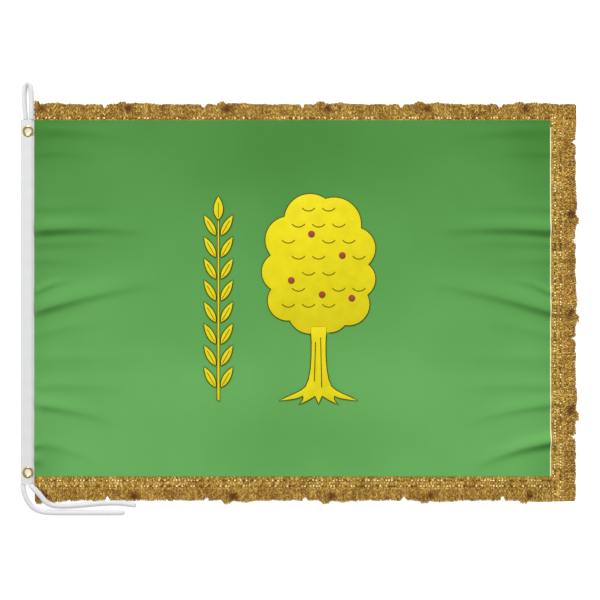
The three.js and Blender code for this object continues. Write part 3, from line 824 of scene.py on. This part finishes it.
fruit_places = []
for number in range(1, 6):
    low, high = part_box(f"tree_fruit_{number}")
    fruit_places.append(in_field((low[0] + high[0]) / 2, (low[1] + high[1]) / 2))
marks = []
MARK_CLEARANCE = 15  # between a mark and the crown's edge or a fruit
for row in range(8):
    for column in range(-3, 4):
        across = 34 * (column + (row % 2) / 2)
        v = 262 + 27 * row
        inside = max(radius - math.hypot(across - mass_across, v - mass_v)
                     for mass_across, mass_v, radius in LEAF_MASSES)
        from_fruit = min(math.hypot(TREE_U + across - fruit_u, v - fruit_v)
                         for fruit_u, fruit_v in fruit_places)
        over_trunk = abs(across) < 18 and v < CROWN_FOOT + 30
        if min(inside, from_fruit) < MARK_CLEARANCE or over_trunk:
            continue
        marks.append([from_field(*point)
                      for point in arc((TREE_U + across, v + 8), (13, 12), 215, 325, 10)])
for lean, low, high in ((-5, 160, 226), (3.5, 150, 234)):  # two lines of bark
    marks.append([from_field(TREE_U + lean * (1 + (230 - at) / 160), at)
                  for at in np.linspace(low, high, 6)])
stitched_cord("tree_leaf_stitching", marks, False, 1.3, 1.0, 4.55)

for number in range(1, 6):
    dome = ((0.8, 0.35), (1.0, 0.3), (1.1, 0.1))
    fruit = sewn_patch(f"tree_fruit_{number}", red, dome)
    stitched_cord(f"tree_fruit_{number}_edge", fruit, True, 1.2, 1.0, 4.7)


# ---- Fly hem tape ---------------------------------------------------------------------------
# A cream cotton twill tape, folded over the field's raw fly edge and sewn on under the fringe. A
# line of it 2 mm wide shows between the satin and the gold, rolled up a little along its edge.

cream_twill = woven_cotton("cotton_twill_cream", "#f2efc6", "#e6e2b0", 0.9)
hem_low, hem_high = (Vector(corner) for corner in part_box("fly_hem_tape"))
bpy.ops.mesh.primitive_grid_add(x_subdivisions=8, y_subdivisions=200, size=1)
hem_tape = bpy.context.object
hem_tape.name = "fly_hem_ribbon"
places = vertex_array(hem_tape)
places[:, 0] = hem_low.x + (places[:, 0] + 0.5) * (hem_high.x - hem_low.x)
places[:, 1] = hem_low.y + (places[:, 1] + 0.5) * (hem_high.y - hem_low.y)
hem_u, hem_v = in_field(places[:, 0], places[:, 1])
hem_shows, hem_dips = 1.5, 3  # how wide its upper part is, and how wide its fall to the lower
hem_height, roll_height = 1.3, 1.6
roll = np.clip(1 - (hem_u - FIELD_WIDTH - hem_shows) / hem_dips, 0, 1)
places[:, 2] = (hem_height + roll_height * roll + cloth_lift(hem_u, hem_v)) * MM
move_vertices(hem_tape, places)
apply_modifier(hem_tape, "SOLIDIFY", thickness=0.9 * MM, offset=-1)
finish_piece(hem_tape, cream_twill, ["fly_hem_tape"], smooth=60)


# ---- Fringe heads ---------------------------------------------------------------------------
# The fringe is a bought trimming of metallic gold yarn. Its head is a flat braid whose cords lie
# side by side across the band, held by two rows of chain stitch in a brighter yarn.

def metallic_yarn(name, dark, middle, bright, roughness):
    """Gold foil wound round a cotton core, its colour running from painted shade to painted glints."""
    material, tree, shader = new_material(name)
    place = add_node(tree, "ShaderNodeTexCoord").outputs["Object"]
    tone = add_node(tree, "ShaderNodeAttribute", attribute_name="tone")
    rust = add_node(tree, "ShaderNodeAttribute", attribute_name="rust")
    thread = add_node(tree, "ShaderNodeAttribute", attribute_name="thread")
    # Random cells along each thread: the brightest are painted glints, the darkest painted shade.
    glint_cells = add_node(tree, "ShaderNodeTexVoronoi", {"Vector": thread.outputs["Vector"],
                      "Scale": 1.0})
    glint_cell = add_node(tree, "ShaderNodeSeparateColor", {0: glint_cells.outputs["Color"]})
    clouds = add_node(tree, "ShaderNodeTexNoise", {"Vector": place, "Scale": 40.0, "Detail": 2.0})
    mixed = add_node(tree, "ShaderNodeMath", {0: glint_cell.outputs[0], 1: 0.8,
                     2: tone.outputs["Fac"]}, operation="MULTIPLY_ADD")
    clouded = add_node(tree, "ShaderNodeMath", {0: clouds.outputs["Fac"], 1: 0.6,
                       2: mixed.outputs[0]}, operation="MULTIPLY_ADD")
    low_half = add_node(tree, "ShaderNodeMapRange", {0: clouded.outputs[0], 1: 0.3, 2: 0.9})
    high_half = add_node(tree, "ShaderNodeMapRange", {0: clouded.outputs[0], 1: 0.9, 2: 1.5})
    deep = add_node(tree, "ShaderNodeMix", {0: low_half.outputs[0], 6: linear(dark),
                    7: linear(middle)}, data_type="RGBA")
    lit = add_node(tree, "ShaderNodeMix", {0: high_half.outputs[0], 6: deep.outputs[2],
                   7: linear(bright)}, data_type="RGBA")
    rusted = add_node(tree, "ShaderNodeMix", {0: rust.outputs["Fac"], 6: lit.outputs[2],
                      7: linear("#6a3405")}, data_type="RGBA")
    bump = add_node(tree, "ShaderNodeBump", {"Height": glint_cells.outputs["Distance"], "Strength": 0.5,
                    "Distance": 0.0004})
    link(tree, rusted.outputs[2], shader.inputs["Base Color"])
    link(tree, bump.outputs["Normal"], shader.inputs["Normal"])
    shader.inputs["Metallic"].default_value = 0.4
    shader.inputs["Roughness"].default_value = roughness
    return material


def mark_threads(piece, tone, rust, index, out):
    """The attributes that the yarn reads: tone, brown patches, and cells 2.6 mm long along each thread for
    its painted glints and shade.
    """
    set_attribute(piece, "tone", tone)
    set_attribute(piece, "rust", rust)
    places = np.stack([index * 1.7, out / 2.6, np.zeros(len(index))], 1).astype(np.float32)
    layer = piece.data.attributes.new("thread", "FLOAT_VECTOR", "POINT")
    layer.data.foreach_set("vector", np.ascontiguousarray(places).ravel())


def cord_row(name, count, pitch, sides, cuts):
    """Straight unit cords side by side along X: each runs along Y from 0 to 1, in mm."""
    bpy.ops.mesh.primitive_cylinder_add(vertices=sides, radius=0.5, depth=1, location=(0, 0.5, 0),
                                        rotation=(math.pi / 2, 0, 0))
    row = bpy.context.object
    row.name = name
    bpy.ops.object.transform_apply(location=True, rotation=True, scale=True)
    cut_long_edges(row, 1, cuts)
    apply_modifier(row, "ARRAY", count=count, use_relative_offset=False, use_constant_offset=True,
                   constant_offset_displace=(pitch, 0, 0))
    places = vertex_array(row)
    index = np.clip(np.rint(places[:, 0] / pitch).astype(int), 0, count - 1)
    return row, index, places[:, 0] - index * pitch, places[:, 1], places[:, 2]


def lay_out(piece, side, along, out, height):
    """Puts a piece of fringe, in mm along a side and out from the field, on the table."""
    turn = side["turn"]
    corner = side["corner"]
    x = corner[0] + math.cos(turn) * along - math.sin(turn) * out
    y = corner[1] + math.sin(turn) * along + math.cos(turn) * out
    table_x, table_y = field_to_table(x, y)
    lift = cloth_lift(x, y)
    move_vertices(piece, np.stack([table_x, table_y, (height + lift) * MM], 1))


def repeats(first, last, pitch=166.5):
    """Places u or v, one repeat of the trimming apart."""
    return np.arange(first, last, pitch)


head_boxes = {side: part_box(f"fringe_{side}_header") for side in ("top", "fly", "bottom")}
top_low, top_high = head_boxes["top"]
fly_low, fly_high = head_boxes["fly"]
bottom_low, bottom_high = head_boxes["bottom"]
HEAD_WIDTH = 21.5
# Each side runs clockwise round the flag from its corner, and out from the field. The trimming
# itself runs the other way on the fly and the bottom, which "way" says.
# Each row: its name, corner, turn and way, its length, how deep the threads hang, how high the
# head's cords lie, how far it runs on to meet the side before it, how far a tuft stands out, and
# where the head's cords begin, out from the field's edge.
SIDES = []
for name, corner, turn, way, length, skirt, height, meets, tuft, first in (
    ("top", (top_low[0], top_low[1]), 0, 1, top_high[0] - top_low[0],
     18.6, 1.3, 0, 3.9, 0.5),
    ("fly", (fly_low[0], fly_high[1]), -math.pi / 2, -1, fly_high[1] - fly_low[1],
     20.4, 2.4, 0.9, 5.0, 0.2),
    ("bottom", (bottom_high[0], bottom_high[1]), math.pi, -1, bottom_high[0] - bottom_low[0],
     19.4, 2.4, 1.9, 5.0, -0.3),
):
    start_u, start_v = in_field(*corner)
    start = (start_u - meets * math.cos(turn), start_v - meets * math.sin(turn))
    SIDES.append({"name": name, "corner": start, "turn": turn, "way": way,
                  "length": length / MM + meets, "skirt": skirt, "height": height, "tuft": tuft,
                  "flat_tufts": [], "first": first})
top_u, fly_v, bottom_u = SIDES[0]["corner"][0], SIDES[1]["corner"][1], SIDES[2]["corner"][0]
SIDES[0]["tufts"] = np.append(repeats(147.3, 850, 167.4), 1.3) - top_u
SIDES[0]["notches"] = repeats(118.5, 850) - top_u
SIDES[1]["tufts"] = fly_v - repeats(100.6, 460, 165.2)
SIDES[1]["notches"] = fly_v - repeats(67.2, 580, 165.2)
SIDES[2]["tufts"] = bottom_u - np.append(repeats(324.2, 850), 6.0)
SIDES[2]["flat_tufts"] = [bottom_u - 157.7]  # the rope lies across this one
SIDES[2]["notches"] = bottom_u - repeats(122.8, 850)
rng = np.random.default_rng(7)
braid_gold = metallic_yarn("metallic_braid_gold", "#7a560c", "#b68c30", "#f2d476", 0.42)
CORD_PITCH = 2.1
CORD_WIDTH, CORD_THICKNESS = 2.7, 1.9
BEAD_ROWS = (6.4, 16.0)  # the rows of chain stitch, out from the head's inner edge
for side in SIDES:
    count = int(side["length"] / CORD_PITCH)
    head, index, across, run, height = cord_row(f"fringe_{side['name']}_braid", count, CORD_PITCH, 6, 9)
    jitter = rng.uniform(-0.25, 0.25, count)
    phase = rng.uniform(0, 6.28, count)
    tone = rng.uniform(0.03, 0.4, count)
    out = side["first"] + run * (HEAD_WIDTH - side["first"])
    twist = out / 4.2 + phase[index]
    wide, thick = across * CORD_WIDTH, height * CORD_THICKNESS
    section_x = wide * np.cos(twist) - thick * np.sin(twist)
    section_z = wide * np.sin(twist) + thick * np.cos(twist)
    weave = 0.3 * np.sin(out / 1.7 + index * math.pi)
    along = (index + 0.5) * CORD_PITCH + jitter[index] + section_x + 0.3 * np.sin(out / 2.3 + phase[index])
    lay_out(head, side, along, out, side["height"] + section_z * 0.8 + weave)
    # Painted shade, carried in the tone: darker under the field's edge and beside each row of chain
    # stitch.
    shade = 0.35 * np.exp(-(out / 1.5) ** 2)
    for row_out in BEAD_ROWS:
        shade += 0.4 * np.exp(-((out - row_out) / 1.6) ** 2)
    mark_threads(head, tone[index] - shade, np.zeros(len(index)), index, out)
    finish_piece(head, braid_gold, [f"fringe_{side['name']}_header"], smooth=60)

bead_gold = metallic_yarn("metallic_chain_stitch_gold", "#5a3c0a", "#c69c38", "#fff2b8", 0.3)
# A real stitch is nearer 3 mm long. These are drawn coarser, so that they show.
BEAD_PITCH = 4.9
BEAD_LIFT, BEAD_THICKNESS = 1.0, 1.7
for side in SIDES:
    for row_number, row_out in enumerate(BEAD_ROWS):
        under_field = side["name"] == "top" and row_number == 0  # all but its end is hidden
        first = FIELD_WIDTH + 4 if under_field else BEAD_PITCH
        count = int((side["length"] - first) / BEAD_PITCH)
        bpy.ops.mesh.primitive_uv_sphere_add(segments=8, ring_count=6, radius=0.5)
        beads = bpy.context.object
        beads.name = f"fringe_{side['name']}_chain_{row_number + 1}"
        apply_modifier(beads, "ARRAY", count=count, use_relative_offset=False,
                       use_constant_offset=True, constant_offset_displace=(BEAD_PITCH, 0, 0))
        places = vertex_array(beads)
        index = np.clip(np.rint(places[:, 0] / BEAD_PITCH).astype(int), 0, count - 1)
        long_way = rng.uniform(2.6, 3.9, count)[index]
        wide_way = rng.uniform(2.2, 3.0, count)[index]
        sway = rng.uniform(-0.5, 0.5, (2, count))[:, index]
        along = first + index * BEAD_PITCH + sway[0]
        along += (places[:, 0] - index * BEAD_PITCH) * long_way
        out = row_out + places[:, 1] * wide_way + sway[1]
        lay_out(beads, side, along, out,
                side["height"] + BEAD_LIFT + places[:, 2] * BEAD_THICKNESS)
        tone = rng.uniform(-0.7, 1.15, count)
        mark_threads(beads, tone[index], np.zeros(len(index)), index, np.zeros(len(index)))
        finish_piece(beads, bead_gold, smooth=60)


# ---- Fringe skirts --------------------------------------------------------------------------
# Bullion threads: metallic yarn twisted back on itself into loops, hanging from the head in two
# close layers. They are crimped and a little uneven. At each repeat of the trimming a tuft of
# longer threads stands out beside a darker brown spot, and a gap follows.

NOTCH_DEPTH, NOTCH_HALF_WIDTH = 7.5, 4.5


def skirt_reach(side, along):
    """How far the threads reach from the head, in mm, at a place along the side."""
    reach = side["skirt"] + 0.5 * np.sin(along / 5.1 + 1) + 0.3 * np.sin(along / 2.9)
    for tuft in side["tufts"]:
        past = (along - tuft) * side["way"]
        reach += side["tuft"] * np.exp(-(past / 6.6) ** 6) + 2.3 * np.exp(-((past - 30) / 22) ** 2)
    for notch in side["notches"]:
        reach -= NOTCH_DEPTH * np.clip(1 - np.abs(along - notch) / NOTCH_HALF_WIDTH, 0, 1)
    return reach


bullion_gold = metallic_yarn("metallic_bullion_gold", "#684508", "#aa7f28", "#eac668", 0.45)
# A real thread is nearer 1.2 mm. These are drawn coarser, so that they show.
THREAD_PITCH = 2.3
THREAD_THICKNESS = 2.2
TUCKED = 1.2  # how far the threads start under the head
SPOT_FROM_TUFT = 10.5
for side in SIDES:
    count = int(side["length"] / THREAD_PITCH)
    layers = []
    for layer in range(2):
        threads, index, across, run, height = cord_row(
            f"fringe_{side['name']}_bullion_{layer}", count, THREAD_PITCH, 4, 10)
        base = (np.arange(count) + 0.5 * layer + 0.25) * THREAD_PITCH + rng.uniform(-0.4, 0.4, count)
        reach = skirt_reach(side, base) + rng.uniform(-0.6, 0.4, count)
        phase = rng.uniform(0, 6.28, (3, count))
        drift = rng.normal(0, 0.8, count)
        tone = rng.uniform(0.04, 0.42, count) + (0.05 if side["name"] == "bottom" else 0.0)
        out = run * reach[index]
        twist = out / 2.4 + phase[0][index]
        size = THREAD_THICKNESS * (1 - 0.3 * run ** 4)
        section_x = (across * np.cos(twist) - height * np.sin(twist)) * size
        section_z = (across * np.sin(twist) + height * np.cos(twist)) * size
        crimp = 0.9 * np.sin(out / 1.2 + phase[1][index])
        crimp_up = 0.3 * np.sin(out / 1.1 + phase[2][index])
        fan = np.zeros(count)
        # Faint warm patches, where the gold has rubbed thin, and a darker brown spot beside each tuft.
        patches = np.sin(base[index] / 17 + 1.7) * np.sin(base[index] / 7.3 + out / 5)
        warm = 0.3 * np.clip(patches, 0, 1)
        rust = np.zeros(len(index))
        for tuft in side["tufts"]:
            fan += np.exp(-((base - tuft) / 7) ** 2) * (base - tuft) * 0.2
        for tuft in np.append(side["tufts"], side["flat_tufts"]):
            darkened = tuft + SPOT_FROM_TUFT * side["way"]
            rust += np.exp(-((base[index] - darkened) / 7) ** 2
                           - ((out - 0.6 * side["skirt"]) / 5.5) ** 2)
        along = base[index] + section_x + crimp + (drift + fan)[index] * run ** 2
        lift = 0.9 + 0.95 * layer + section_z * 0.8 + crimp_up * 0.6 + 0.5 * (1 - run)
        lay_out(threads, side, along, HEAD_WIDTH - TUCKED + out * (1 + TUCKED / side["skirt"]), lift)
        spotted_tone = tone[index] - 0.4 * np.clip(rust, 0, 1) + 0.15 * warm
        mark_threads(threads, spotted_tone, np.clip(rust * 0.85 + warm, 0, 0.9), index + 0.5 * layer, out)
        layers.append(threads)
    # A dark sheet of painted shade under the threads, which closes the gaps between them.
    bpy.ops.mesh.primitive_grid_add(x_subdivisions=count, y_subdivisions=3, size=1)
    shade_sheet = bpy.context.object
    places = vertex_array(shade_sheet) + 0.5
    along = places[:, 0] * side["length"]
    out = side["first"] + 0.3 + places[:, 1] * (HEAD_WIDTH + skirt_reach(side, along) - 2.1)
    lay_out(shade_sheet, side, along, out, 0.2 + (side["height"] - 0.7) * (out < HEAD_WIDTH - 1))
    apply_modifier(shade_sheet, "SOLIDIFY", thickness=0.3 * MM, offset=1)
    run_u, run_v = in_field(*vertex_array(shade_sheet)[:, :2].T)
    along = run_u if side["name"] != "fly" else run_v
    zero = np.zeros(len(along))
    mark_threads(shade_sheet, zero - 0.05, zero + 0.15, np.rint(along / THREAD_PITCH), zero)
    layers.append(shade_sheet)
    bpy.ops.object.select_all(action="DESELECT")
    for threads in layers:
        threads.select_set(True)
    bpy.context.view_layer.objects.active = layers[0]
    bpy.ops.object.join()
    skirt = bpy.context.object
    skirt.name = f"fringe_{side['name']}_bullion"
    finish_piece(skirt, bullion_gold, [f"fringe_{side['name']}_skirt"], smooth=60)


# ---- Table ----------------------------------------------------------------------------------
# A pale matt table top, lit a little from within as a light table is, so that no shadow under
# the rope goes grey. It isn't part of the object.
bpy.ops.mesh.primitive_plane_add(size=12, location=(0, 0, -0.0002))
table = bpy.context.object
table.name = "table_top"
table_paint, paint_tree, paint = new_material("matt_white_table")
speckle = add_node(paint_tree, "ShaderNodeTexNoise", {"Scale": 400.0})
shade = add_node(paint_tree, "ShaderNodeMix", {0: speckle.outputs["Fac"], 6: linear("#f6f6f6"),
                 7: linear("#f8f8f8")}, data_type="RGBA")
link(paint_tree, shade.outputs[2], paint.inputs["Base Color"])
paint.inputs["Roughness"].default_value = 0.9
paint.inputs["Specular IOR Level"].default_value = 0.1
paint.inputs["Emission Color"].default_value = (1, 1, 1, 1)
paint.inputs["Emission Strength"].default_value = 0.45
table.data.materials.append(table_paint)
table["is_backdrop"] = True

low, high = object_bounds()
